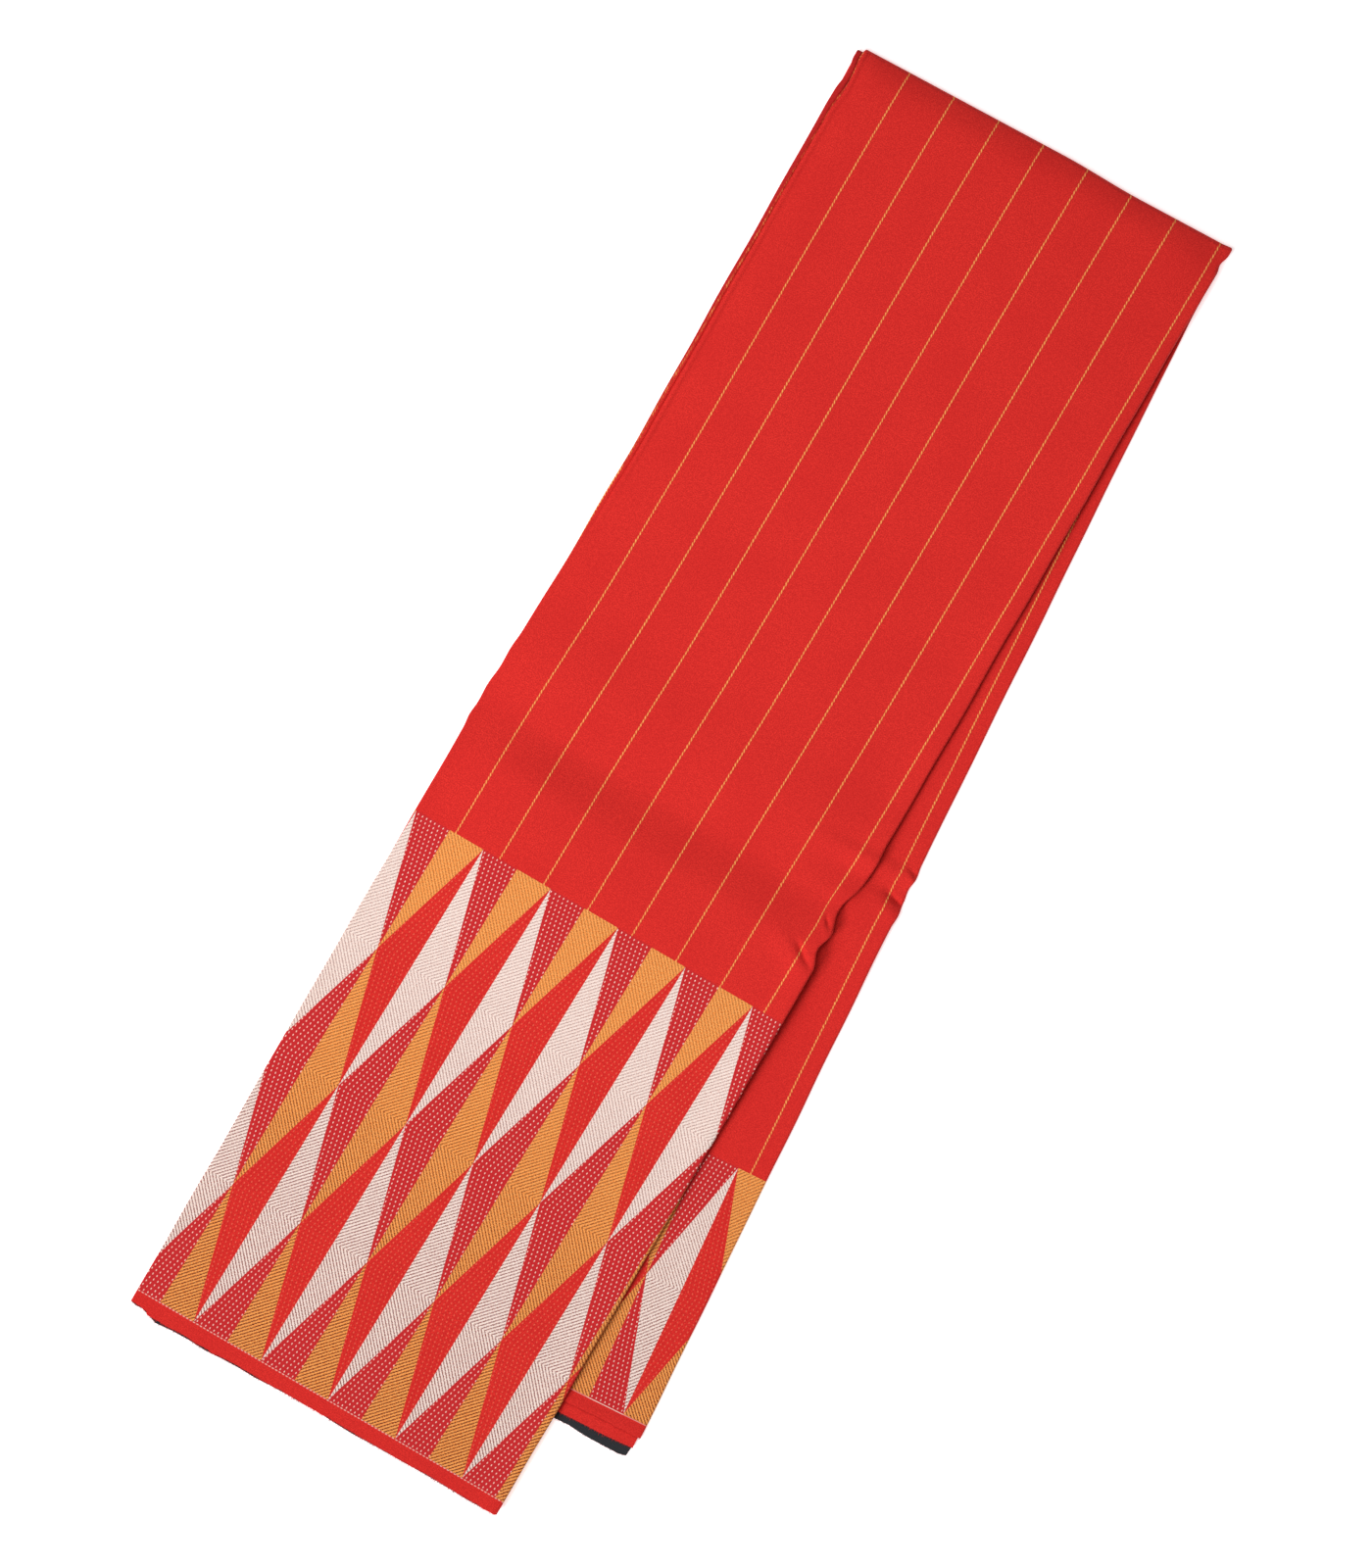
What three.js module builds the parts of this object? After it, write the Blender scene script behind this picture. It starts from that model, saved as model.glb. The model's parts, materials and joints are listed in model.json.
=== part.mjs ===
// A long woven cloth, stored folded: folded in three lengthwise, then doubled across its length.
//
// The doubling makes two legs that share one cross fold. The lower leg lies on the table and the
// upper leg lies on it. Each leg holds three layers, named after their place in the cross fold:
//   outer   the middle third of the cloth, on the outside of the cross fold
//   middle  the left third, tucked in from the left long fold
//   inner   the right third, turned in from the right long fold, on the inside of the cross fold
// Along each leg a layer runs from the cross fold through its plain field and its patterned band
// to its heading, which ends in the raw cut edge.
//
// Units are millimetres. X runs across the cloth, +Y points to the cross fold, and +Z is up.

import * as THREE from "three";

// Driving dimensions
const FOLDED_WIDTH = 310;
const CLOTH = 0.8; // thickness of the woven cloth
const AIR = 0.4; // air between one layer and the next
const GAP = 0.3; // clearance between neighbouring regions of the same layer
const FOLD_ARM = 6; // flat strip on each side of a long fold's turn
const MIDDLE_INSET = 3; // free selvage of the middle layer, in from the right long fold
const INNER_INSET = 3; // free selvage of the inner layer, in from the left long fold
const LEG_SKEW = 1.975; // degrees that each leg turns away from the square of the cross fold
const SLANT_RUN = 60; // length over which a leg's square weave gives way to its slanted fold end
const CREASE_HEIGHT = 5; // soft ridge that an earlier fold left across the upper leg
const CREASE_PLACE = 615; // distance of that ridge from the cross fold
const CREASE_REACH = 100; // half its width
const STEP = 24; // length of one facet along the creased leg
const ARC_SEGMENTS = 8;

// How far each layer reaches from the cross fold, and the woven zones at its far end
const LEGS = {
  upper: {
    side: 1,
    turn: -LEG_SKEW,
    reach: { outer: 1067, middle: 1069.6, inner: 1069.6 },
    band: 407,
    heading: 11,
    creased: true,
  },
  lower: {
    side: -1,
    turn: LEG_SKEW,
    reach: { outer: 996, middle: 988.5, inner: 979 },
    band: 199,
    heading: 10.5,
    creased: false,
  },
};

// Worked-out dimensions
const LAYER_PITCH = CLOTH + AIR;
const LAYERS = ["inner", "middle", "outer"];
const HALF_WIDTH = FOLDED_WIDTH / 2;
const LEFT_FOLD_RADIUS = (LAYER_PITCH + CLOTH) / 2;
const RIGHT_FOLD_RADIUS = (2 * LAYER_PITCH + CLOTH) / 2;
const LEFT_ARM_END = -HALF_WIDTH + LEFT_FOLD_RADIUS + FOLD_ARM;
const RIGHT_ARM_END = HALF_WIDTH - RIGHT_FOLD_RADIUS - FOLD_ARM;

// Each layer's extent across the cloth, between the long folds and its free selvage
const SPANS = {
  outer: [LEFT_ARM_END + GAP, RIGHT_ARM_END - GAP],
  middle: [LEFT_ARM_END + GAP, HALF_WIDTH - MIDDLE_INSET],
  inner: [-HALF_WIDTH + INNER_INSET, RIGHT_ARM_END - GAP],
};

const WEAVES = {
  field: new THREE.MeshStandardMaterial({ color: "#d22d2b", roughness: 0.9, metalness: 0 }),
  band: new THREE.MeshStandardMaterial({ color: "#e07a5c", roughness: 0.9, metalness: 0 }),
  heading: new THREE.MeshStandardMaterial({ color: "#c22a2c", roughness: 0.95, metalness: 0 }),
};

// Distance of a layer's nearer face from the plane through the middle of the cross fold
function layerDepth(layer) {
  return AIR / 2 + LAYERS.indexOf(layer) * LAYER_PITCH;
}

const LEG_DEPTH = layerDepth("outer") + CLOTH;

// A flat layer's section, in X and Z
function flatSection([left, right], layer, side) {
  const near = side * layerDepth(layer);
  const far = near + side * CLOTH;
  const shape = new THREE.Shape();
  shape.moveTo(left, near);
  shape.lineTo(right, near);
  shape.lineTo(right, far);
  shape.lineTo(left, far);
  shape.closePath();
  return shape;
}

// A long fold's section: a half turn that joins the outer layer to another one
function longFoldSection(edge, otherLayer, side) {
  const near = layerDepth(otherLayer);
  const radius = (LEG_DEPTH - near) / 2;
  const centreX = edge * (HALF_WIDTH - radius);
  const centreZ = (side * (near + LEG_DEPTH)) / 2;
  const armX = centreX - edge * FOLD_ARM;
  const quarter = Math.PI / 2;
  const shape = new THREE.Shape();
  shape.moveTo(armX, centreZ - radius);
  shape.lineTo(centreX, centreZ - radius);
  shape.absarc(centreX, centreZ, radius, -quarter, quarter, edge < 0);
  shape.lineTo(armX, centreZ + radius);
  shape.lineTo(armX, centreZ + radius - CLOTH);
  shape.lineTo(centreX, centreZ + radius - CLOTH);
  shape.absarc(centreX, centreZ, radius - CLOTH, quarter, -quarter, edge > 0);
  shape.lineTo(armX, centreZ - radius + CLOTH);
  shape.closePath();
  return shape;
}

// Height of the old storage crease at a distance from the cross fold
function creaseHeight(distance) {
  const t = (distance - CREASE_PLACE) / CREASE_REACH;
  return Math.abs(t) < 1 ? (CREASE_HEIGHT * (1 + Math.cos(Math.PI * t))) / 2 : 0;
}

// Runs a section along a leg between two distances from the cross fold
function runAlongLeg(shape, leg, from, to) {
  const steps = leg.creased ? Math.ceil((to - from) / STEP) : 1;
  const geometry = new THREE.ExtrudeGeometry(shape, {
    depth: to - from,
    steps,
    bevelEnabled: false,
    curveSegments: ARC_SEGMENTS,
  });
  geometry.rotateX(Math.PI / 2);
  geometry.translate(0, -from, 0);
  const slope = Math.tan(THREE.MathUtils.degToRad(leg.turn));
  const points = geometry.attributes.position;
  for (let i = 0; i < points.count; i += 1) {
    const distance = -points.getY(i);
    const slant = slope * points.getX(i) * Math.max(0, 1 - distance / SLANT_RUN);
    points.setY(i, -distance - slant);
    if (leg.creased) {
      points.setZ(i, points.getZ(i) + creaseHeight(distance));
    }
  }
  return geometry;
}

function namedMesh(name, geometry, weave) {
  const mesh = new THREE.Mesh(geometry, weave);
  mesh.name = name;
  return mesh;
}

// One layer of a leg, in its three woven zones
function addLayer(group, legName, layer) {
  const leg = LEGS[legName];
  const section = flatSection(SPANS[layer], layer, leg.side);
  const end = leg.reach[layer];
  const headingStart = end - leg.heading;
  const bandStart = headingStart - leg.band;
  const zones = [
    ["field", GAP, bandStart - GAP],
    ["band", bandStart, headingStart - GAP],
    ["heading", headingStart, end],
  ];
  for (const [zone, from, to] of zones) {
    const geometry = runAlongLeg(section, leg, from, to);
    group.add(namedMesh(`${legName}_${layer}_${zone}`, geometry, WEAVES[zone]));
  }
}

// The turned edge between the outer layer and the layer tucked in from that side
function addLongFold(group, legName, name, edge, otherLayer) {
  const leg = LEGS[legName];
  const section = longFoldSection(edge, otherLayer, leg.side);
  const end = Math.min(leg.reach.outer, leg.reach[otherLayer]);
  const geometry = runAlongLeg(section, leg, GAP, end);
  group.add(namedMesh(`${legName}_${name}`, geometry, WEAVES.field));
}

function makeLeg(legName) {
  const group = new THREE.Group();
  for (const layer of LAYERS) {
    addLayer(group, legName, layer);
  }
  addLongFold(group, legName, "left_fold", -1, "middle");
  addLongFold(group, legName, "right_fold", 1, "inner");
  group.rotation.z = THREE.MathUtils.degToRad(LEGS[legName].turn);
  return group;
}

// One layer's half turn round the cross fold
function makeCrossFold(layer, [left, right]) {
  const innerRadius = layerDepth(layer);
  const quarter = Math.PI / 2;
  const shape = new THREE.Shape();
  shape.absarc(0, 0, innerRadius + CLOTH, -quarter, quarter, false);
  shape.absarc(0, 0, innerRadius, quarter, -quarter, true);
  shape.closePath();
  const geometry = new THREE.ExtrudeGeometry(shape, {
    depth: right - left,
    bevelEnabled: false,
    curveSegments: ARC_SEGMENTS,
  });
  geometry.rotateX(Math.PI / 2);
  geometry.rotateZ(Math.PI / 2);
  geometry.translate(left, 0, 0);
  return namedMesh(`cross_fold_${layer}`, geometry, WEAVES.field);
}

const cloth = new THREE.Group();
cloth.add(makeLeg("lower"), makeLeg("upper"));
cloth.add(makeCrossFold("outer", [-HALF_WIDTH, HALF_WIDTH]));
cloth.add(makeCrossFold("middle", [-HALF_WIDTH, HALF_WIDTH - MIDDLE_INSET]));
cloth.add(makeCrossFold("inner", [-HALF_WIDTH + INNER_INSET, HALF_WIDTH]));

// The origin is the middle of the folded cloth's footprint, on the surface that it lies on
const box = new THREE.Box3().setFromObject(cloth, true);
const centre = box.getCenter(new THREE.Vector3());
cloth.position.set(-centre.x, -centre.y, -box.min.z);

export default cloth;
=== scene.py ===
"""A folded length of red woven cloth with striped field and diamond-patterned ends.

The cloth is one sheet, folded in three lengthwise and doubled across at the cross fold. It is
built as a thick sheet for each leg and for each layer's turn round the cross fold, all from one
section, so the pieces meet at the fold. Every surface point keeps its place on the flat cloth
as its UV, in metres, and the weave is drawn there: U runs across the cloth from the middle of
its outer layer, and V runs along it from the cross fold, negative on the upper leg.

Along a leg, s is the distance from the hinge and seen is the distance from the fold's outline.
Across it, x runs over the folded cloth and u over the flat one. All lengths are in metres.
"""

import json
import math

import bpy
import numpy as np
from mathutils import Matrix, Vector


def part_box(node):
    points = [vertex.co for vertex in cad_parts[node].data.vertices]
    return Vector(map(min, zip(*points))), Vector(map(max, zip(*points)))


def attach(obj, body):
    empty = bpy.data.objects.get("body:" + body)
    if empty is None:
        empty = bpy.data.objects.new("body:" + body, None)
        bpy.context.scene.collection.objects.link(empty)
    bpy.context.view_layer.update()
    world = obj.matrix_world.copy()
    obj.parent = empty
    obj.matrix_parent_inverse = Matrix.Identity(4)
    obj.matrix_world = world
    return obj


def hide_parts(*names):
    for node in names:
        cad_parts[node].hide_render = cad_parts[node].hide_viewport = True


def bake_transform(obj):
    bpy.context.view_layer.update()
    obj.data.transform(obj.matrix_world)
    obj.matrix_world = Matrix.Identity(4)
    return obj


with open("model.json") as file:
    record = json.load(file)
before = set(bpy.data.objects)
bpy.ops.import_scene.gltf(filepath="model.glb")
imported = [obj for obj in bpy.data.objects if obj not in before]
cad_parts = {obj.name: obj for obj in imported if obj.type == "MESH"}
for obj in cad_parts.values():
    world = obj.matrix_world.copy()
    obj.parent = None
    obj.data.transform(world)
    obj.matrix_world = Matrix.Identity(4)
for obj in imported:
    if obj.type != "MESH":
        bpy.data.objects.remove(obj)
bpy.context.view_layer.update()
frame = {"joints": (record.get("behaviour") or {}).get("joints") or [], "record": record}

MM = 0.001
SEED = 7

# ---------------------------------------------------------------- sizes from the frame
HINGE = np.array(frame["joints"][0]["pos_m"])
FOLD_LOW, FOLD_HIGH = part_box("cross_fold_outer")
HALF_WIDTH = (FOLD_HIGH.x - FOLD_LOW.x) / 2

# ---------------------------------------------------------------- the cloth
CLOTH = 0.8 * MM
AIR = 0.4 * MM
PITCH = CLOTH + AIR
DEPTH = {"inner": (AIR + CLOTH) / 2, "middle": (AIR + CLOTH) / 2 + PITCH}
DEPTH["outer"] = DEPTH["middle"] + PITCH
FOLD_NOSE = DEPTH["outer"] + CLOTH / 2  # how far the cross fold's outline stands beyond the hinge
LEG_SKEW = math.radians(1.975)
SLANT_RUN = 60 * MM
MIDDLE_INSET = 2 * MM  # a little less than the solids need to stay clear of one another
INNER_INSET = 3 * MM
LEFT_BACKSET = (DEPTH["outer"] - DEPTH["middle"]) / 2 + CLOTH / 2
RIGHT_BACKSET = (DEPTH["outer"] - DEPTH["inner"]) / 2 + CLOTH / 2
LEFT_TURN_X = -HALF_WIDTH + LEFT_BACKSET
RIGHT_TURN_X = HALF_WIDTH - RIGHT_BACKSET

LEGS = {
    "upper": {
        "side": 1,
        "skew": -LEG_SKEW,
        "reach": {"outer": 1067 * MM, "middle": 1069.6 * MM, "inner": 1069.6 * MM},
    },
    "lower": {
        "side": -1,
        "skew": LEG_SKEW,
        "reach": {"outer": 996 * MM, "middle": 988.5 * MM, "inner": 979 * MM},
    },
}

# ---------------------------------------------------------------- the weave, in metres of flat cloth
STRIPE_PITCH = 37.1 * MM
STRIPE_START = -113.0 * MM
DIAMOND_WIDTH = 56.7 * MM
DIAMOND_START = 23.9 * MM
UPPER_BAND = (-1059.7 * MM, -653.7 * MM, 4)  # start, end and number of half rows
LOWER_BAND = (772.6 * MM, 971.8 * MM, 2)
DOT_PITCH = 3.5 * MM
DOT_ROW = 3.4 * MM
DOT_LEAN = 0.75 * MM
TWILL_PITCH = 3.35 * MM  # measured along the cloth
TWILL_SLOPE = 1.12
TWILL_ROW = 1.55 * MM
LEFT_CREVICE = -150.9 * MM  # where the rolled left edge of the upper leg meets the flat cloth
BUMP_HEIGHT = 0.12 * MM

# ---------------------------------------------------------------- short creases
# in millimetres: height, middle across and along, half length, width, and tilt in degrees.
# Each ridge is followed by the narrow furrow beside it.
LOWER_CREASES = (
    (0.9, (150, 527), 12, 3.0, 28),
    (-1.5, (151, 523), 10, 1.8, 28),
    (1.8, (141, 552), 28, 7.0, 21),
    (-2.4, (147, 546), 16, 2.3, 21),
)
UPPER_CREASES = (
    (0.7, (148, 577), 12, 3.2, 50),
    (-1.8, (148, 573), 8, 2.2, 50),
    (1.8, (134, 606), 36, 8.5, 33),
    (-2.6, (142, 602), 18, 2.6, 33),
)

# ---------------------------------------------------------------- loose yarns at the cut ends
FRAY_YARNS = 1500  # along each cut end
YARN_RINGS = 4
YARN_ROOT = 0.5 * MM  # length held in the cloth
LONG_YARN_SHARE = 0.12


def smooth(t):
    """A soft step from 0 at t = 0 to 1 at t = 1."""
    t = np.clip(t, 0, 1)
    return t * t * (3 - 2 * t)


def ridge(t):
    """A smooth bump of height 1 at t = 0 that ends at -1 and 1."""
    return np.where(np.abs(t) < 1, (1 + np.cos(np.pi * np.clip(t, -1, 1))) / 2, 0)


def ripple(x, y, size, seed):
    """Slow uneven waviness between about -1 and 1, with features about as long as size."""
    random = np.random.default_rng(seed)
    total = np.zeros(np.broadcast(x, y).shape)
    for _ in range(9):
        angle = random.uniform(0, math.tau)
        wave = math.tau / (size * random.uniform(0.7, 1.8))
        phase = random.uniform(0, math.tau)
        total += np.sin((x * math.cos(angle) + y * math.sin(angle)) * wave + phase)
    return total / 4.5


# ---------------------------------------------------------------- how the weave drifts from the folds
def drift(leg_name, s):
    """How far the weave has moved across the leg, because the long folds run off its threads."""
    s = s + FOLD_NOSE
    if leg_name == "upper":
        return 0.0116 * s + 0.0134 * np.maximum(0, s - 650 * MM)
    settled = 17.5 * MM * smooth(s / (250 * MM)) - 0.0043 * np.maximum(0, s - 250 * MM)
    return settled + 0.0238 * np.maximum(0, s - 773 * MM)


# ---------------------------------------------------------------- section across a leg
def spaced(start, end, step):
    """Even stations from start to end, about step apart."""
    count = max(1, round(abs(end - start) / step))
    return np.linspace(start, end, count + 1)


def fine_edged(start, end, margin, fine, coarse):
    """Stations from start to end, close together within margin of either end."""
    way = 1 if end > start else -1
    first = spaced(start, start + way * margin, fine)
    middle = spaced(start + way * margin, end - way * margin, coarse)
    last = spaced(end - way * margin, end, fine)
    return np.concatenate([first[:-1], middle[:-1], last])


def turn(from_depth, to_depth, centre_x, edge, segments):
    """Stations round a long fold, as x and depth."""
    radius = (to_depth - from_depth) / 2
    angles = np.linspace(-math.pi / 2, math.pi / 2, segments + 1)
    x = centre_x + edge * abs(radius) * np.cos(angles)
    depth = (from_depth + to_depth) / 2 + radius * np.sin(angles)
    return x, depth


def make_section(fine_layer):
    """The leg's cross-section, from the middle layer's selvage, round the outer layer, to the inner's.

    Returns x, depth, flat distance u and the layer of each station."""
    step = {name: (5 if name == fine_layer else 14) * MM for name in DEPTH}
    edge_step = {name: (1 if name == fine_layer else 2.2) * MM for name in DEPTH}
    margin = {name: (20 if name == fine_layer else 9) * MM for name in DEPTH}

    def run(name, start, end):
        stations = fine_edged(start, end, margin[name], edge_step[name], step[name])
        if name == fine_layer == "outer":
            # finest of all where the upper leg's left edge is rolled
            left = spaced(start, start + 9 * MM, 0.5 * MM)
            stations = np.concatenate([left, stations[stations > left[-1] + 0.4 * MM]])
        return stations, np.full_like(stations, DEPTH[name]), name

    left_x, left_depth = turn(DEPTH["middle"], DEPTH["outer"], LEFT_TURN_X, -1, 8)
    right_x, right_depth = turn(DEPTH["outer"], DEPTH["inner"], RIGHT_TURN_X, 1, 10)
    runs = [
        run("middle", HALF_WIDTH - MIDDLE_INSET, LEFT_TURN_X),
        (left_x[1:-1], left_depth[1:-1], "left"),
        run("outer", LEFT_TURN_X, RIGHT_TURN_X),
        (right_x[1:-1], right_depth[1:-1], "right"),
        run("inner", RIGHT_TURN_X, -HALF_WIDTH + INNER_INSET),
    ]
    x = np.concatenate([part_x for part_x, _, _ in runs])
    depth = np.concatenate([part_depth for _, part_depth, _ in runs])
    layer = np.concatenate([np.full(len(part_x), name) for part_x, _, name in runs])
    u = np.concatenate([[0], np.cumsum(np.hypot(np.diff(x), np.diff(depth)))])
    outer = layer == "outer"
    u -= np.interp(0, x[outer], u[outer])
    return x, depth, u, layer


def cloth_end(leg_name, x, u, layer):
    """How far the cloth reaches from the hinge at each station, along its cut end."""
    reach = LEGS[leg_name]["reach"]
    from_left = x - LEFT_TURN_X
    from_right = RIGHT_TURN_X - x
    outer = reach["inner"] + (reach["outer"] - reach["inner"]) * smooth(from_right / (2.5 * MM))
    middle = reach["outer"] + (reach["middle"] - reach["outer"]) * smooth(from_left / (10 * MM))
    inner = np.full_like(x, reach["inner"])
    if leg_name == "upper":
        # past its left corner the outer layer steps out, and the middle one shows as a dark rim
        step = smooth((from_left - 12.5 * MM) / (2 * MM))
        step = step * (1 - 0.6 * smooth((from_left - 40 * MM) / (100 * MM)))
        rim = 1.5 * MM - 0.9 * MM * smooth((from_left - 60 * MM) / (60 * MM))
        outer = reach["outer"] + 2.2 * MM * step
        middle = outer + rim * (step > 0)
        inner = reach["outer"] - 3 * MM * smooth(from_right / (30 * MM))
    else:
        # the lower leg's outer layer is cut raggedly, with one shallow bay
        outer = outer + ripple(u, 0 * u, 10 * MM, SEED + 9) * 1.3 * MM
        outer = outer - 2.2 * MM * ridge((x - 92 * MM) / (34 * MM))
    ends = {"middle": middle, "left": np.full_like(x, reach["outer"]), "outer": outer}
    ends.update({"right": np.full_like(x, inner[np.argmax(x)]), "inner": inner})
    end = np.choose([list(ends).index(name) for name in layer], list(ends.values()))
    fine = ripple(u, 0 * u, 8 * MM, SEED) * 0.45 * MM
    return end + fine + ripple(u, 0 * u, 45 * MM, SEED + 1) * 0.6 * MM


# ---------------------------------------------------------------- how the folded cloth lies
def sideways(leg_name, x, s):
    """How far the cloth lies to the side of a straight leg."""
    seen = s + FOLD_NOSE
    near_right = smooth((x - HALF_WIDTH + 20 * MM) / (20 * MM))
    near_left = smooth((-x - HALF_WIDTH + 20 * MM) / (20 * MM))
    waver = ripple(s, 0 * s, 90 * MM, SEED + 2 + LEGS[leg_name]["side"]) * 0.4 * MM
    shift = smooth(s / (40 * MM)) * waver * (near_right - near_left)
    if leg_name == "lower":
        shift += 0.8 * MM * ridge((seen - 524 * MM) / (9 * MM)) * near_right
        shift -= 0.9 * MM * ridge((seen - 535 * MM) / (9 * MM)) * near_right
        shift += 0.9 * MM * ridge((seen - 555 * MM) / (11 * MM)) * near_right
        return shift - 3.0 * MM * smooth(s / (70 * MM)) + 1.0 * MM * smooth((s - 0.6) / 0.3)
    # the leg is a little bowed, more along its left fold than along its right one
    left = 3.7 * MM * (smooth(s / 0.38) - smooth((s - 0.425) / 0.15))
    left += 0.8 * MM * smooth((s - 0.8) / 0.2)
    right = 2.3 * MM * smooth(s / 0.42) - 0.5 * MM * smooth((s - 0.48) / 0.15)
    across = np.clip((x + HALF_WIDTH) / (2 * HALF_WIDTH), 0, 1)
    shift += left * (1 - across) + right * across
    shift += 1.3 * MM * ridge((seen - 520 * MM) / (20 * MM)) * near_right
    shift -= 6.4 * MM * ridge((seen - 561 * MM) / (27 * MM)) * near_right
    shift -= 5.0 * MM * ridge((seen - 593 * MM) / (17 * MM)) * near_right
    for place, reach in ((516, 16), (547, 15), (573, 11)):
        shift -= 0.8 * MM * ridge((seen - place * MM) / (reach * MM)) * near_left
    shift += 1.9 * MM * ridge((seen - 24 * MM) / (17 * MM)) * near_left * smooth(s / (8 * MM))
    pleat = np.exp(-(((x + 148 * MM) / (5 * MM)) ** 2))
    return shift + 2.2 * MM * ridge((seen - 39 * MM) / (18 * MM)) * pleat


def crease(x, seen, place, length, width, tilt):
    """A short straight crease, 1 at its middle, at place and turned by tilt degrees."""
    cos, sin = math.cos(math.radians(tilt)), math.sin(math.radians(tilt))
    right, onward = x - place[0] * MM, seen - place[1] * MM
    along, off = right * cos + onward * sin, onward * cos - right * sin
    return ridge(along / (length * MM)) * np.exp(-((off / (width * MM)) ** 2))


def short_creases(x, seen, creases):
    return sum(height * MM * crease(x, seen, *shape) for height, *shape in creases)


def lower_lift(x, s):
    """Height of the lower leg's soft creases, by its own distance across and along."""
    seen = s + FOLD_NOSE
    at_right = smooth((x - 50 * MM) / (70 * MM))
    climb = smooth((seen - 540 * MM) / (22 * MM)) - smooth((seen - 563 * MM) / (90 * MM))
    crest = smooth((seen - 517 * MM) / (10 * MM)) - smooth((seen - 527 * MM) / (14 * MM))
    lift = (3.4 * MM * climb + 1.6 * MM * crest) * at_right
    lift += short_creases(x, seen, LOWER_CREASES)
    return lift + 0.3 * MM * (1 + ripple(x, s, 160 * MM, SEED + 5))


def upper_lift(x, s):
    """Height of the upper leg's soft creases above the lower leg."""
    seen = s + FOLD_NOSE
    uneven = 1 + 0.14 * ripple(x, s, 260 * MM, SEED + 6)
    quiet_left = 0.4 + 0.6 * smooth((x + 150 * MM) / (60 * MM))
    climb = smooth((seen - 556 * MM) / (44 * MM)) - smooth((seen - 603 * MM) / (190 * MM))
    lift = 7.6 * MM * climb * uneven * quiet_left
    lift += 1.6 * MM * ridge((seen - 512 * MM) / (50 * MM)) * uneven
    lift += short_creases(x, seen, UPPER_CREASES)
    # the right fold is a soft roll, a little prouder than the leg beside it
    right_roll = smooth(1 - np.abs(x - HALF_WIDTH + 3 * MM) / (22 * MM))
    lift += 2.2 * MM * right_roll * smooth(s / 0.1)
    return lift + 0.4 * MM * (1 + ripple(x, s, 150 * MM, SEED + 7))


def fold_rise(x, from_nose):
    """Height of the soft roll over the cross fold, from its outline inward."""
    run, height = 24 * MM, 5 * MM
    settle = 1 - 0.72 * smooth((from_nose - run) / 0.36)
    curve = 1 - np.clip(1 - from_nose / run, 0, 1) ** 2.2
    edge = 0.5 + 0.5 * smooth((HALF_WIDTH - np.abs(x)) / (26 * MM))
    return height * curve * settle * edge


def loft(depth):
    """How much of a rise the upper leg's layers take: all of it outside, about a third inside."""
    return 0.35 + 0.65 * (depth - DEPTH["inner"]) / (DEPTH["outer"] - DEPTH["inner"])


def lower_loft(depth):
    """How much of a rise the lower leg's layers take: all of it inside, on top, and little outside."""
    return 1 - 0.85 * (depth - DEPTH["inner"]) / (DEPTH["outer"] - DEPTH["inner"])


def left_roll(u, s):
    """The rolled left edge of the upper leg: a strip, a crevice, and the shoulder beside it."""
    seen = s + FOLD_NOSE
    deeper = 1 + 0.8 * ridge((seen - 31 * MM) / (15 * MM))
    crevice = np.exp(-(((u - LEFT_CREVICE) / (0.55 * MM)) ** 2))
    shoulder = np.exp(-(((u - LEFT_CREVICE - 2.6 * MM) / (1.8 * MM)) ** 2))
    fade = 1 - smooth((s - 0.3) / 0.13)
    return (1.0 * MM * shoulder - 1.6 * MM * crevice * deeper) * fade


def corner_pull(x, s):
    """Along the leg and across it: the small horn, tip and notch at the ends of the cross fold."""
    near = np.exp(-((s / (7 * MM)) ** 2))
    horn = smooth((-x - HALF_WIDTH + 6.0 * MM) / (1.5 * MM))
    tip = smooth((x - HALF_WIDTH + 7 * MM) / (6 * MM))
    along = 3.0 * MM * horn * near - 0.6 * MM * tip * near
    along += 2.2 * MM * smooth((x - 15 * MM) / (65 * MM)) * np.exp(-((s / (45 * MM)) ** 2))
    across = 1.5 * MM * tip * near - 1.3 * MM * tip * ridge((s - 12 * MM) / (8 * MM))
    return along, across


def lay(leg_name, x, s, u, depth):
    """Places a leg's stations in the shared frame."""
    leg = LEGS[leg_name]
    along, across = corner_pull(x, s)
    slant = math.tan(leg["skew"]) * x * np.maximum(0, 1 - s / SLANT_RUN)
    local_x = x + sideways(leg_name, x, s) + across
    local_y = -s - slant - along
    cos, sin = math.cos(leg["skew"]), math.sin(leg["skew"])
    off_x = local_x * cos - local_y * sin
    off_y = local_x * sin + local_y * cos
    flatten = smooth(s / (30 * MM))
    # the lower leg's creases lift the upper leg too, so both find them by the lower leg's axes
    lower = LEGS["lower"]["skew"]
    lower_x = off_x * math.cos(lower) + off_y * math.sin(lower)
    lower_s = off_x * math.sin(lower) - off_y * math.cos(lower)
    lift = lower_lift(lower_x, lower_s) * flatten
    if leg_name == "lower":
        reach = leg["reach"]["inner"]
        curl = 1.4 * MM * smooth((s - reach + 12 * MM) / (12 * MM))
        lift = (lift + curl) * lower_loft(depth)
    if leg_name == "upper":
        raised = upper_lift(x, s) * flatten + fold_rise(x, s + FOLD_NOSE)
        lift = lift + raised * loft(depth) + left_roll(u, s) * (depth > DEPTH["outer"] - 0.1 * MM)
    z = np.maximum(HINGE[2] + leg["side"] * depth + lift, CLOTH / 2)
    return np.stack([HINGE[0] + off_x, HINGE[1] + off_y, z], axis=-1)


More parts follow.
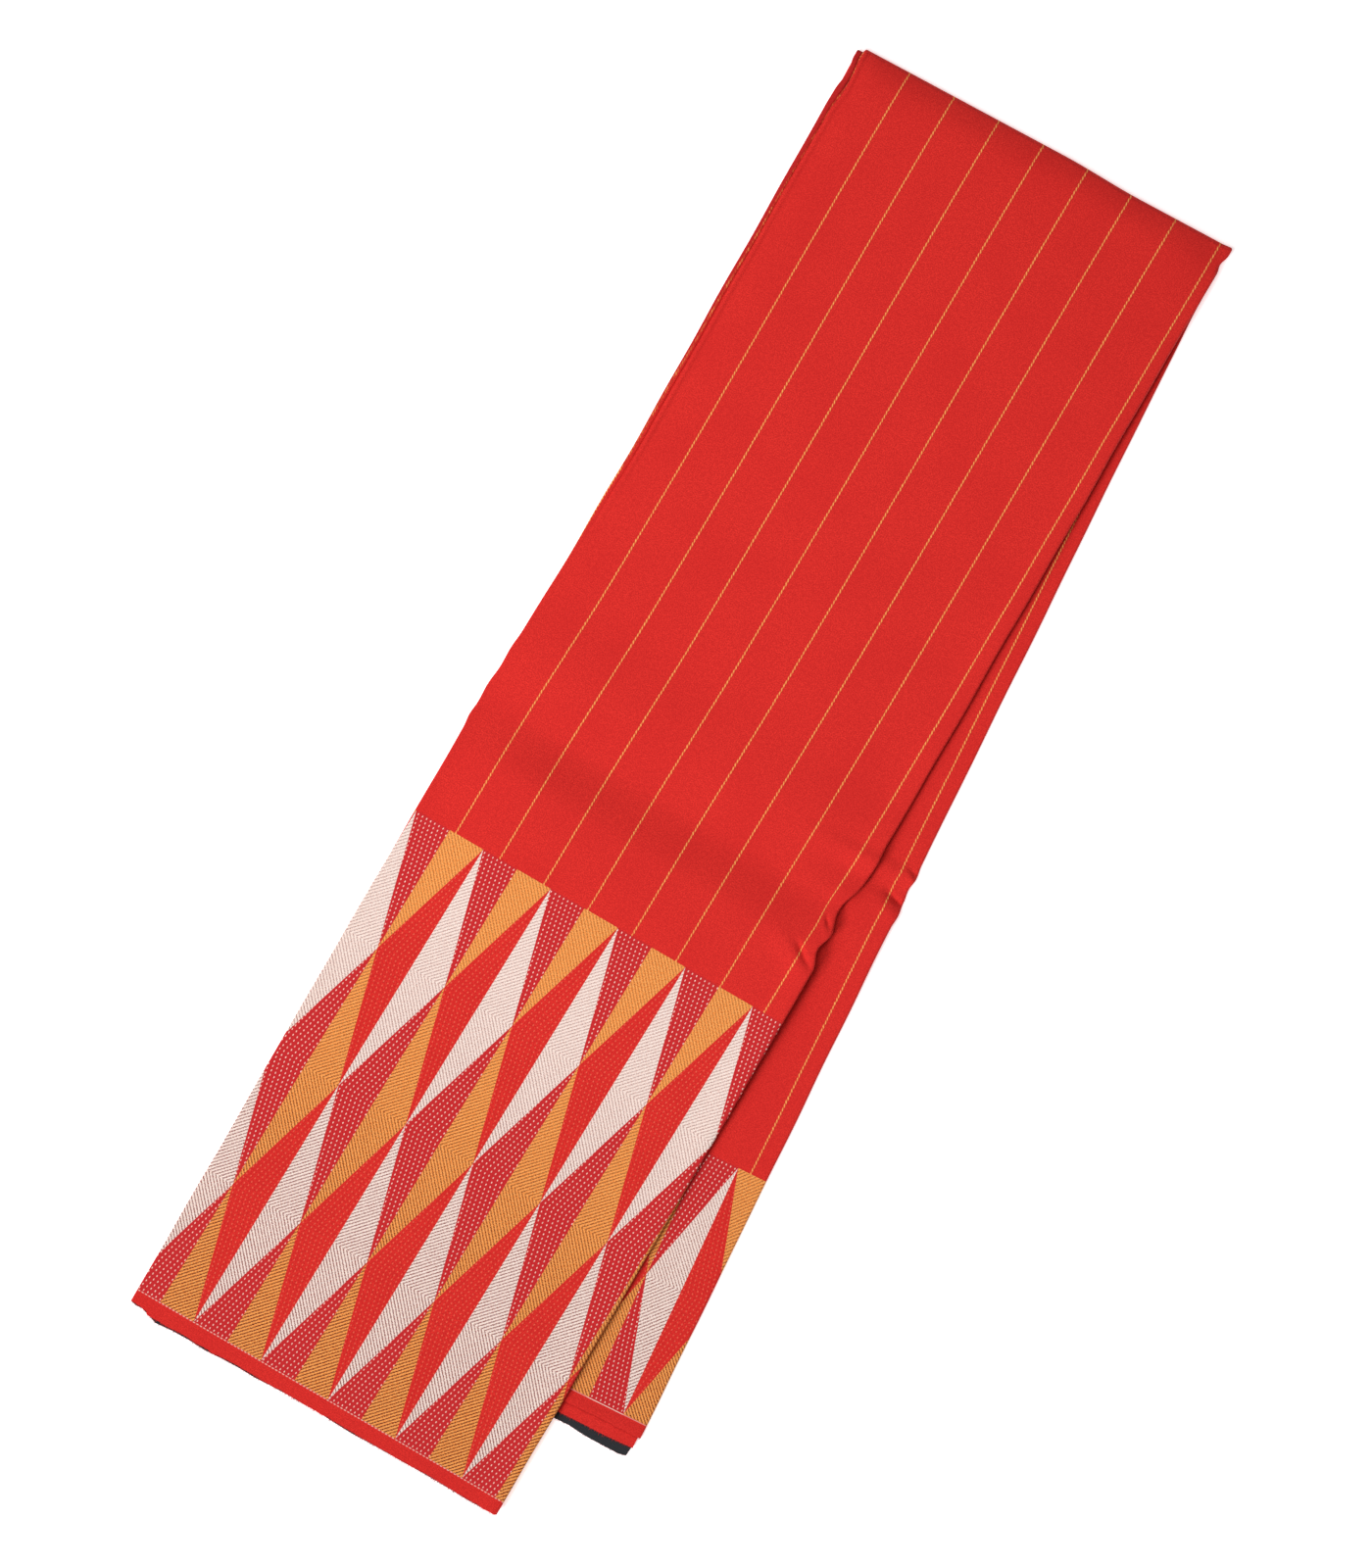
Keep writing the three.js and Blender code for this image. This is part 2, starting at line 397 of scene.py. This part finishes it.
# ---------------------------------------------------------------- pieces of cloth
def add_piece(name, vertices, faces, slots, flat, materials):
    """Adds a mesh whose UV gives each vertex's place on the flat cloth."""
    mesh = bpy.data.meshes.new(name)
    mesh.from_pydata(vertices.tolist(), [], faces)
    for material in materials:
        mesh.materials.append(material)
    mesh.polygons.foreach_set("material_index", slots)
    corners = [vertex for face in faces for vertex in face]
    layer = mesh.uv_layers.new(name="cloth")
    layer.data.foreach_set("uv", flat[corners].astype(np.float32).reshape(-1))
    mesh.update()
    piece = bpy.data.objects.new(name, mesh)
    bpy.context.scene.collection.objects.link(piece)
    return piece


def thick_sheet(name, points, uv, way, materials):
    """A closed sheet of cloth from a grid of points on its middle surface.

    The face takes the first material, and the reverse the second. The face looks along the cross
    product of the grid's two directions where way is 1, and the other way where it is -1."""
    rows, columns = points.shape[:2]
    along = np.gradient(points, axis=0)
    across = np.gradient(points, axis=1)
    normal = way * np.cross(along, across)
    normal /= np.linalg.norm(normal, axis=2, keepdims=True)
    front = (points + normal * CLOTH / 2).reshape(-1, 3)
    back = (points - normal * CLOTH / 2).reshape(-1, 3)
    count = rows * columns
    index = np.arange(count).reshape(rows, columns)
    a, b, c, d = index[:-1, :-1], index[1:, :-1], index[1:, 1:], index[:-1, 1:]
    face = np.stack([a, b, c, d], axis=-1).reshape(-1, 4)
    around = np.concatenate([index[:-1, 0], index[-1, :-1], index[:0:-1, -1], index[0, :0:-1]])
    following = np.roll(around, -1)
    rim = np.stack([following, around, around + count, following + count], axis=-1)
    if way < 0:
        face = face[:, ::-1]
        rim = rim[:, ::-1]
    faces = np.concatenate([face, face[:, ::-1] + count, rim])
    slots = np.zeros(len(faces), np.int32)
    slots[len(face) : 2 * len(face)] = 1
    vertices = np.concatenate([front, back])
    flat = np.concatenate([uv.reshape(-1, 2)] * 2)
    piece = add_piece(name, vertices, faces.tolist(), slots, flat, materials)
    piece.data.polygons.foreach_set("use_smooth", np.ones(len(faces), bool))
    piece.data.set_sharp_from_angle(angle=math.radians(55))
    piece.data.update()
    return piece


def leg_rows(longest):
    """Stations along a leg: closest at the fold, at the creases and at the cut end."""
    return np.concatenate(
        [
            np.array([0, 1, 2, 3.2, 4.6, 6.2, 8, 10, 12.2, 14.6, 17.2, 20]) * MM,
            spaced(24 * MM, 60 * MM, 2.5 * MM),
            spaced(66 * MM, 490 * MM, 6.2 * MM),
            spaced(491.8 * MM, 620 * MM, 1.8 * MM),
            spaced(626 * MM, longest - 12 * MM, 6.2 * MM),
            spaced(longest - 9 * MM, longest, 1.5 * MM),
        ]
    )


def make_leg(leg_name, fine_layer, dark_layer, materials):
    """A leg's cloth and the loose yarns at its cut end.

    The mesh is finest on the fine layer, and the yarns are black on the dark one."""
    x, depth, u, layer = make_section(fine_layer)
    end = cloth_end(leg_name, x, u, layer)
    longest = end.max()
    s = leg_rows(longest)[:, None] * np.ones_like(x)
    s = s - smooth((s - 0.85 * longest) / (0.15 * longest)) * (longest - end)
    points = lay(leg_name, x + 0 * s, s, u + 0 * s, depth + 0 * s)
    side = LEGS[leg_name]["side"]
    uv = np.stack([u + drift(leg_name, s), -side * (s + FOLD_NOSE)], axis=-1)
    piece = thick_sheet(f"{leg_name}_leg_cloth", points, uv, side, materials)
    fray = make_fray(f"{leg_name}_leg_fray", points, uv, layer == dark_layer, materials)
    return piece, fray


def make_cross_fold(layer_name, materials):
    """One layer's half turn round the cross fold, with its share of the long folds beside it."""
    x, depth, u, layer = make_section("outer" if layer_name == "outer" else None)
    tolerance = 0.001 * MM
    left_middle = (DEPTH["outer"] + DEPTH["middle"]) / 2
    right_middle = (DEPTH["outer"] + DEPTH["inner"]) / 2
    keep = layer == layer_name
    if layer_name == "outer":
        keep |= (layer == "left") & (depth >= left_middle - tolerance)
        keep |= (layer == "right") & (depth >= right_middle - tolerance)
    if layer_name == "middle":
        keep |= (layer == "left") & (depth <= left_middle + tolerance)
    if layer_name == "inner":
        keep |= (layer == "right") & (depth <= right_middle + tolerance)
    x, depth, u = x[keep], depth[keep], u[keep]
    angle = np.linspace(math.pi / 2, -math.pi / 2, 25)[:, None]
    upward = np.clip(np.sin(angle), 0, 1) ** 0.5
    along, across = corner_pull(x, 0 * x)
    skew = -LEG_SKEW * np.sin(angle)
    off_x = x / math.cos(LEG_SKEW) + across * np.cos(skew) + along * np.sin(skew)
    off_y = depth * np.cos(angle) + across * np.sin(skew) - along * np.cos(skew)
    rise = fold_rise(x, FOLD_NOSE - depth * np.cos(angle)) * loft(depth)
    if layer_name == "outer":
        rise = rise + left_roll(u, 0) * (depth > DEPTH["outer"] - 0.1 * MM)
    off_z = depth * np.sin(angle) + upward * rise
    places = (HINGE[0] + off_x, HINGE[1] + off_y, HINGE[2] + off_z)
    points = np.stack(np.broadcast_arrays(*places), axis=-1)
    v = -FOLD_NOSE * angle / (math.pi / 2)
    uv = np.stack(np.broadcast_arrays(u, v), axis=-1)
    return thick_sheet(f"cross_fold_{layer_name}_cloth", points, uv, -1, materials)


def yarn_corners(root, out, beside, random):
    """One yarn end, as three-sided rings that lean, bend and narrow from its root outward."""
    up = np.cross(beside, out)
    thick = random.uniform(0.07, 0.13) * MM
    root = root - out * YARN_ROOT + up * random.uniform(-0.3, 0.3) * MM
    reach = random.uniform(0.5, 1.3) * MM * (2 if random.random() < LONG_YARN_SHARE else 1)
    lean, bend = random.normal(0, 0.35), random.normal(0, 0.5)
    corners = []
    for ring in range(YARN_RINGS):
        share = ring / (YARN_RINGS - 1)
        path = out * (YARN_ROOT + reach) * share
        path = path + beside * reach * (lean * share + bend * share * share)
        narrow = thick * (1 - 0.6 * share)
        for side, rise in ((-1, -0.6), (1, -0.6), (0, 1)):
            corners.append(root + path + beside * side * narrow + up * rise * narrow)
    return corners


def yarn_faces(base):
    """The faces of a yarn end whose first corner is base: its sides, then its two ends."""
    faces = []
    for ring in range(YARN_RINGS - 1):
        for side in range(3):
            a, b = base + ring * 3 + side, base + ring * 3 + (side + 1) % 3
            faces.append((a, b, b + 3, a + 3))
    last = base + 3 * (YARN_RINGS - 1)
    return [*faces, (base + 2, base + 1, base), (last, last + 1, last + 2)]


def make_fray(name, points, uv, dark, materials):
    """Short loose yarn ends along a cut end, black where its stations are dark."""
    random = np.random.default_rng(SEED + 20)
    last, before = points[-1], points[-2]
    length = np.linalg.norm(np.diff(last, axis=0), axis=1)
    place = np.concatenate([[0], np.cumsum(length)])
    vertices, faces, flat, slots = [], [], [], []
    for start in random.uniform(0, place[-1], FRAY_YARNS):
        k = min(np.searchsorted(place, start, side="right") - 1, len(length) - 1)
        t = (start - place[k]) / length[k]
        root = last[k] * (1 - t) + last[k + 1] * t
        out = last[k] - before[k]
        out /= np.linalg.norm(out)
        beside = (last[k + 1] - last[k]) / length[k]
        own_faces = yarn_faces(len(vertices))
        own_corners = yarn_corners(root, out, beside, random)
        faces += own_faces
        slots += [int(dark[k])] * len(own_faces)
        vertices += own_corners
        flat += [uv[-1, k]] * len(own_corners)
    return add_piece(name, np.array(vertices), faces, slots, np.array(flat), materials)


# ---------------------------------------------------------------- materials
def srgb(red, green, blue):
    """A colour given as 8-bit screen values, in the linear values that the shader takes."""
    values = [c / 255 for c in (red, green, blue)]
    return (*[c / 12.92 if c <= 0.04045 else ((c + 0.055) / 1.055) ** 2.4 for c in values], 1.0)


class Weave:
    """Short names for the nodes of one material."""

    def __init__(self, name):
        self.material = bpy.data.materials.new(name)
        self.material.use_nodes = True
        self.tree = self.material.node_tree
        self.shader = self.tree.nodes["Principled BSDF"]

    def link(self, value, socket):
        if isinstance(value, bpy.types.NodeSocket):
            self.tree.links.new(value, socket)
        else:
            socket.default_value = value

    def math(self, operation, a, b=0.0, c=0.0):
        node = self.tree.nodes.new("ShaderNodeMath")
        node.operation = operation
        for value, socket in zip((a, b, c), node.inputs):
            self.link(value, socket)
        return node.outputs[0]

    def add(self, a, b):
        return self.math("ADD", a, b)

    def take(self, a, b):
        return self.math("SUBTRACT", a, b)

    def times(self, a, b):
        return self.math("MULTIPLY", a, b)

    def over(self, a, b):
        """1 where a is greater than b, and 0 elsewhere."""
        return self.math("LESS_THAN", b, a)

    def ramp(self, value, low, high, to_low=0.0, to_high=1.0):
        """A soft step from to_low where value is low to to_high where it is high."""
        node = self.tree.nodes.new("ShaderNodeMapRange")
        node.interpolation_type = "SMOOTHSTEP"
        for number, socket in zip((value, low, high, to_low, to_high), node.inputs):
            self.link(number, socket)
        return node.outputs[0]

    def mix(self, factor, a, b):
        node = self.tree.nodes.new("ShaderNodeMix")
        node.data_type = "RGBA"
        self.link(factor, node.inputs["Factor"])
        self.link(a, node.inputs["A"])
        self.link(b, node.inputs["B"])
        return node.outputs["Result"]

    def cloth_place(self):
        """U and V on the flat cloth, in metres."""
        node = self.tree.nodes.new("ShaderNodeUVMap")
        node.uv_map = "cloth"
        split = self.tree.nodes.new("ShaderNodeSeparateXYZ")
        self.tree.links.new(node.outputs[0], split.inputs[0])
        return node.outputs[0], split.outputs["X"], split.outputs["Y"]

    def noise(self, vector, scale, detail=2.0):
        node = self.tree.nodes.new("ShaderNodeTexNoise")
        node.inputs["Scale"].default_value = scale
        node.inputs["Detail"].default_value = detail
        self.tree.links.new(vector, node.inputs["Vector"])
        return node.outputs["Fac"]

    def wave(self, value, pitch):
        """A wave between 0 and 1 that repeats every pitch."""
        turn_share = self.times(value, math.tau / pitch)
        return self.math("MULTIPLY_ADD", self.math("SINE", turn_share), 0.5, 0.5)

    def from_nearest(self, value, start, pitch):
        """Signed distance from the nearest of a row of lines."""
        turned = self.math("FLOORED_MODULO", self.add(value, pitch / 2 - start), pitch)
        return self.take(turned, pitch / 2)

    def bump(self, height):
        node = self.tree.nodes.new("ShaderNodeBump")
        node.inputs["Distance"].default_value = BUMP_HEIGHT
        self.link(height, node.inputs["Height"])
        self.tree.links.new(node.outputs[0], self.shader.inputs["Normal"])


def dots(w, u, off_centre, half_width, half_height):
    """Upright oval dots in rows that lean away from a diamond's middle line."""
    row = w.math("FLOOR", w.times(off_centre, 1 / DOT_ROW))
    across = w.from_nearest(w.take(u, w.times(row, DOT_LEAN)), 0.0, DOT_PITCH)
    up = w.take(w.math("FLOORED_MODULO", off_centre, DOT_ROW), DOT_ROW / 2)
    ratio = w.add(
        w.math("POWER", w.math("ABSOLUTE", w.times(across, 1 / half_width)), 2.0),
        w.math("POWER", w.math("ABSOLUTE", w.times(up, 1 / half_height)), 2.0),
    )
    return w.ramp(ratio, 0.5, 1.5, 1.0, 0.0)


def band_place(w, v, band):
    """Where a point is in a band: half rows from its first line, and 1 inside the band."""
    start, end, half_rows = band
    row = w.times(w.take(v, start), half_rows / (end - start))
    inside = w.times(w.over(v, start), w.over(end, v))
    return row, inside


def make_face():
    """The red face: striped field, bands of split diamonds, and plain headings."""
    w = Weave("red_patterned_weave")
    place, u, v = w.cloth_place()
    speckle = w.noise(place, 1100.0, 3.0)
    mottle = w.noise(place, 330.0, 3.0)
    cloud = w.noise(place, 22.0, 3.0)
    ground = w.mix(w.ramp(speckle, 0.3, 0.7), srgb(196, 31, 28), srgb(239, 51, 43))
    ground = w.mix(w.ramp(mottle, 0.38, 0.68, 0.0, 0.32), ground, srgb(196, 27, 26))
    ground = w.mix(w.ramp(cloud, 0.35, 0.7, 0.0, 0.25), ground, srgb(202, 29, 29))

    # thin two-ply stripe yarns along the field, with painted shade in a dark furrow at each side
    sway = w.times(w.take(w.noise(place, 420.0), 0.5), 1.0 * MM)
    from_stripe = w.add(w.from_nearest(u, STRIPE_START, STRIPE_PITCH), sway)
    off_stripe = w.math("ABSOLUTE", from_stripe)
    stripe = w.ramp(off_stripe, 0.38 * MM, 0.84 * MM, 1.0, 0.0)
    # the stripe on the rolled left edge is sunk in the weave, more in some places than in others
    on_roll = w.times(w.over(LEFT_CREVICE + 4 * MM, u), w.over(v, -0.36))
    sunk = w.times(on_roll, w.ramp(w.noise(place, 120.0), 0.42, 0.62, 0.9, 0.4))
    stripe = w.times(stripe, w.take(1.0, sunk))
    # where shade is painted into the furrow beside each stripe
    painted_furrow_shade = w.ramp(off_stripe, 0.5 * MM, 1.2 * MM, 0.35, 0.0)
    ply = w.wave(w.add(v, w.times(from_stripe, 1.6)), 3.1 * MM)
    ply = w.times(w.ramp(ply, 0.15, 0.75), w.ramp(speckle, 0.35, 0.6, 0.6, 1.0))
    yarn = w.mix(ply, srgb(224, 72, 42), srgb(255, 178, 98))
    upper_start, upper_end, upper_half_rows = UPPER_BAND
    lower_start, lower_end, _ = LOWER_BAND
    field = w.times(w.over(v, upper_end), w.over(lower_start, v))
    # painted shade: the strip outside the crevice lies in shade, so its colour is darkened
    strip = w.times(w.over(LEFT_CREVICE, u), w.over(u, LEFT_CREVICE - 9 * MM))
    strip = w.times(strip, w.times(w.ramp(v, -0.4, -0.25, 0.0, 0.5), w.over(0.0, v)))
    # painted shade on the strip outside the crevice
    colour = w.mix(strip, ground, srgb(160, 22, 26))
    # painted shade: the furrow beside each stripe is darkened in colour, not in shape
    colour = w.mix(w.times(painted_furrow_shade, field), colour, srgb(150, 18, 20))
    colour = w.mix(w.times(stripe, field), colour, yarn)

    # split diamonds: one column of centres on odd lines, the other on even lines
    upper_row, in_upper = band_place(w, v, UPPER_BAND)
    lower_row, in_lower = band_place(w, v, LOWER_BAND)
    row = w.add(w.times(upper_row, in_upper), w.times(lower_row, in_lower))
    in_band = w.add(in_upper, in_lower)
    odd_across = w.from_nearest(u, DIAMOND_START, DIAMOND_WIDTH)
    even_across = w.from_nearest(u, DIAMOND_START + DIAMOND_WIDTH / 2, DIAMOND_WIDTH)
    from_odd = w.take(w.math("FLOORED_MODULO", row, 2.0), 1.0)
    from_even = w.take(w.math("FLOORED_MODULO", w.add(row, 1.0), 2.0), 1.0)
    across_share = w.times(w.math("ABSOLUTE", odd_across), 2 / DIAMOND_WIDTH)
    in_odd = w.over(1.0, w.add(across_share, w.math("ABSOLUTE", from_odd)))
    half_row = (upper_end - upper_start) / upper_half_rows
    off_odd = w.times(w.math("ABSOLUTE", from_odd), half_row)
    off_even = w.times(w.math("ABSOLUTE", from_even), half_row)
    off_centre = w.add(w.times(off_odd, in_odd), w.times(off_even, w.take(1.0, in_odd)))
    twill = w.wave(w.take(off_centre, w.times(u, TWILL_SLOPE)), TWILL_PITCH)
    dash = w.wave(v, TWILL_ROW)
    grain = w.noise(place, 1250.0, 3.0)
    fleck = w.ramp(grain, 0.34, 0.6, 0.3, 1.0)
    # the dark threads show more towards the cut ends
    depth = w.ramp(w.math("ABSOLUTE", v), 0.68, 1.05, 0.62, 1.25)
    broken = w.times(w.times(w.ramp(dash, 0.0, 0.7, 0.65, 1.0), fleck), depth)
    rough = w.add(twill, w.times(w.take(grain, 0.5), 1.3))
    cream_lines = w.times(w.ramp(rough, 0.5, 0.8), broken)
    cream_yarn = w.mix(w.ramp(speckle, 0.35, 0.65), srgb(240, 208, 196), srgb(255, 240, 231))
    cream = w.mix(cream_lines, cream_yarn, srgb(124, 26, 16))
    orange_lines = w.times(w.ramp(rough, 0.42, 0.72), broken)
    orange_yarn = w.mix(w.ramp(speckle, 0.35, 0.65), srgb(240, 136, 58), srgb(255, 178, 100))
    orange = w.mix(orange_lines, orange_yarn, srgb(104, 22, 8))
    bright = w.ramp(grain, 0.38, 0.55, 0.6, 1.0)
    sparse = w.times(dots(w, u, off_centre, 0.45 * MM, 0.75 * MM), bright)
    dense = w.times(dots(w, u, off_centre, 0.4 * MM, 0.78 * MM), bright)
    plain_half = w.mix(w.times(sparse, 0.75), ground, srgb(236, 112, 86))
    crimson = w.mix(speckle, srgb(184, 27, 33), srgb(214, 45, 47))
    dotted_half = w.mix(dense, crimson, srgb(255, 214, 200))
    odd = w.mix(w.over(odd_across, 0.0), plain_half, cream)
    even = w.mix(w.over(even_across, 0.0), dotted_half, orange)
    diamonds = w.mix(in_odd, even, odd)
    colour = w.mix(in_band, colour, diamonds)

    # a light weft thread closes each band
    from_upper = w.math("ABSOLUTE", w.take(v, upper_start - 0.4 * MM))
    from_lower = w.math("ABSOLUTE", w.take(v, lower_end + 0.5 * MM))
    upper_thread = w.times(w.ramp(from_upper, 0.2 * MM, 0.55 * MM, 0.7, 0.0), w.wave(u, 2.9 * MM))
    lower_fade = w.ramp(even_across, 0.0, 3 * MM, 0.9, 0.45)
    lower_thread = w.times(w.ramp(from_lower, 0.1 * MM, 0.45 * MM, 1.0, 0.0), lower_fade)
    thread = w.math("MAXIMUM", upper_thread, lower_thread)
    colour = w.mix(thread, colour, srgb(255, 222, 208))

    w.link(colour, w.shader.inputs["Base Color"])
    w.shader.inputs["Roughness"].default_value = 0.85
    w.shader.inputs["Specular IOR Level"].default_value = 0.2
    w.shader.inputs["Sheen Weight"].default_value = 0.12
    w.shader.inputs["Sheen Roughness"].default_value = 0.5
    w.shader.inputs["Sheen Tint"].default_value = srgb(255, 120, 110)
    ribs = w.wave(w.add(w.times(u, 0.8), v), 1.1 * MM)
    height = w.add(w.times(ribs, 0.5), w.times(speckle, 0.7))
    height = w.add(height, w.times(w.times(w.take(1.0, twill), in_band), 0.8))
    height = w.add(height, w.times(w.times(stripe, field), 1.3))
    w.bump(height)
    return w.material


def make_reverse():
    """The plain black reverse."""
    w = Weave("black_reverse_weave")
    place, u, v = w.cloth_place()
    speckle = w.noise(place, 900.0, 3.0)
    rib = w.wave(w.add(u, w.times(v, 0.8)), 1.2 * MM)
    colour = w.mix(w.times(w.add(speckle, rib), 0.5), srgb(24, 25, 28), srgb(58, 60, 64))
    w.link(colour, w.shader.inputs["Base Color"])
    w.shader.inputs["Roughness"].default_value = 0.9
    w.shader.inputs["Specular IOR Level"].default_value = 0.2
    w.shader.inputs["Sheen Weight"].default_value = 0.1
    w.bump(w.add(speckle, rib))
    return w.material


def make_floor_material():
    material = bpy.data.materials.new("pale_floor")
    material.use_nodes = True
    shader = material.node_tree.nodes["Principled BSDF"]
    shader.inputs["Base Color"].default_value = (0.97, 0.97, 0.97, 1)
    shader.inputs["Roughness"].default_value = 0.9
    shader.inputs["Specular IOR Level"].default_value = 0.0
    shader.inputs["Emission Color"].default_value = (1, 1, 1, 1)
    shader.inputs["Emission Strength"].default_value = 0.55
    return material


# ---------------------------------------------------------------- stage, light and camera
FLOOR_REACH = 6.0
FLOOR_DROP = 0.2 * MM
WORLD_LIGHT = 0.2
VIEW_ROLL = math.radians(28.225)
VIEW_TARGET = HINGE + np.array([-11.2, -534.2, 0]) * MM
FRAME_HEIGHT = 1149.4 * MM
VIEW_PLANE = 2.5 * FOLD_NOSE  # level at which the view is FRAME_HEIGHT tall, near the upper leg's face
LENS = 150.0
SENSOR = 36.0


def make_stage():
    mesh = bpy.data.meshes.new("floor")
    corners = [(-1, -1), (1, -1), (1, 1), (-1, 1)]
    vertices = [(x * FLOOR_REACH, y * FLOOR_REACH, -FLOOR_DROP) for x, y in corners]
    mesh.from_pydata(vertices, [], [(0, 1, 2, 3)])
    mesh.materials.append(make_floor_material())
    floor = bpy.data.objects.new("floor", mesh)
    bpy.context.scene.collection.objects.link(floor)


def make_light(name, place, size, share):
    """A soft disc aimed at the cloth, that gives a share of the light on a level surface below."""
    light = bpy.data.lights.new(name, "AREA")
    light.shape = "DISK"
    light.size = size
    place = Vector(place)
    light.energy = share * math.pi**2 * place.length**3 / place.z
    lamp = bpy.data.objects.new(name, light)
    lamp.location = place
    lamp.rotation_euler = place.to_track_quat("Z", "Y").to_euler()
    bpy.context.scene.collection.objects.link(lamp)


def make_camera():
    data = bpy.data.cameras.new("camera")
    data.lens = LENS
    data.sensor_width = SENSOR
    data.clip_end = 50
    camera = bpy.data.objects.new("camera", data)
    height = FRAME_HEIGHT * LENS / SENSOR + VIEW_PLANE
    camera.location = (VIEW_TARGET[0], VIEW_TARGET[1], height)
    camera.rotation_euler = (0, 0, VIEW_ROLL)
    bpy.context.scene.collection.objects.link(camera)
    bpy.context.scene.camera = camera


def make_world():
    world = bpy.data.worlds.new("studio")
    world.use_nodes = True
    world.node_tree.nodes["Background"].inputs["Color"].default_value = (1, 1, 1, 1)
    world.node_tree.nodes["Background"].inputs["Strength"].default_value = WORLD_LIGHT
    bpy.context.scene.world = world


make_camera()
make_world()
make_stage()
make_light("key", (-4.0, -8.6, 8.0), 4.4, 0.45)
make_light("top", (-0.2, 0.0, 1.35), 0.6, 0.33)
make_light("left", (-1.1, 0.1, 1.2), 0.7, 0.08)
bpy.context.scene.view_settings.view_transform = "Standard"

# ---------------------------------------------------------------- the cloth
face, reverse = make_face(), make_reverse()
lower, lower_fray = make_leg("lower", "inner", "outer", [face, reverse])
upper, upper_fray = make_leg("upper", "outer", "middle", [face, reverse])
folds = {name: make_cross_fold(name, [face, reverse]) for name in DEPTH}

bodies = frame["record"]["behaviour"]["bodies"]
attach(lower, "lower_leg")
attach(upper, "upper_leg")
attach(lower_fray, "lower_leg")
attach(upper_fray, "upper_leg")
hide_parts(*[node for node in bodies["lower_leg"] if not node.startswith("cross_fold")])
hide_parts(*bodies["upper_leg"])
for name, piece in folds.items():
    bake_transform(piece)
    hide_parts(f"cross_fold_{name}")
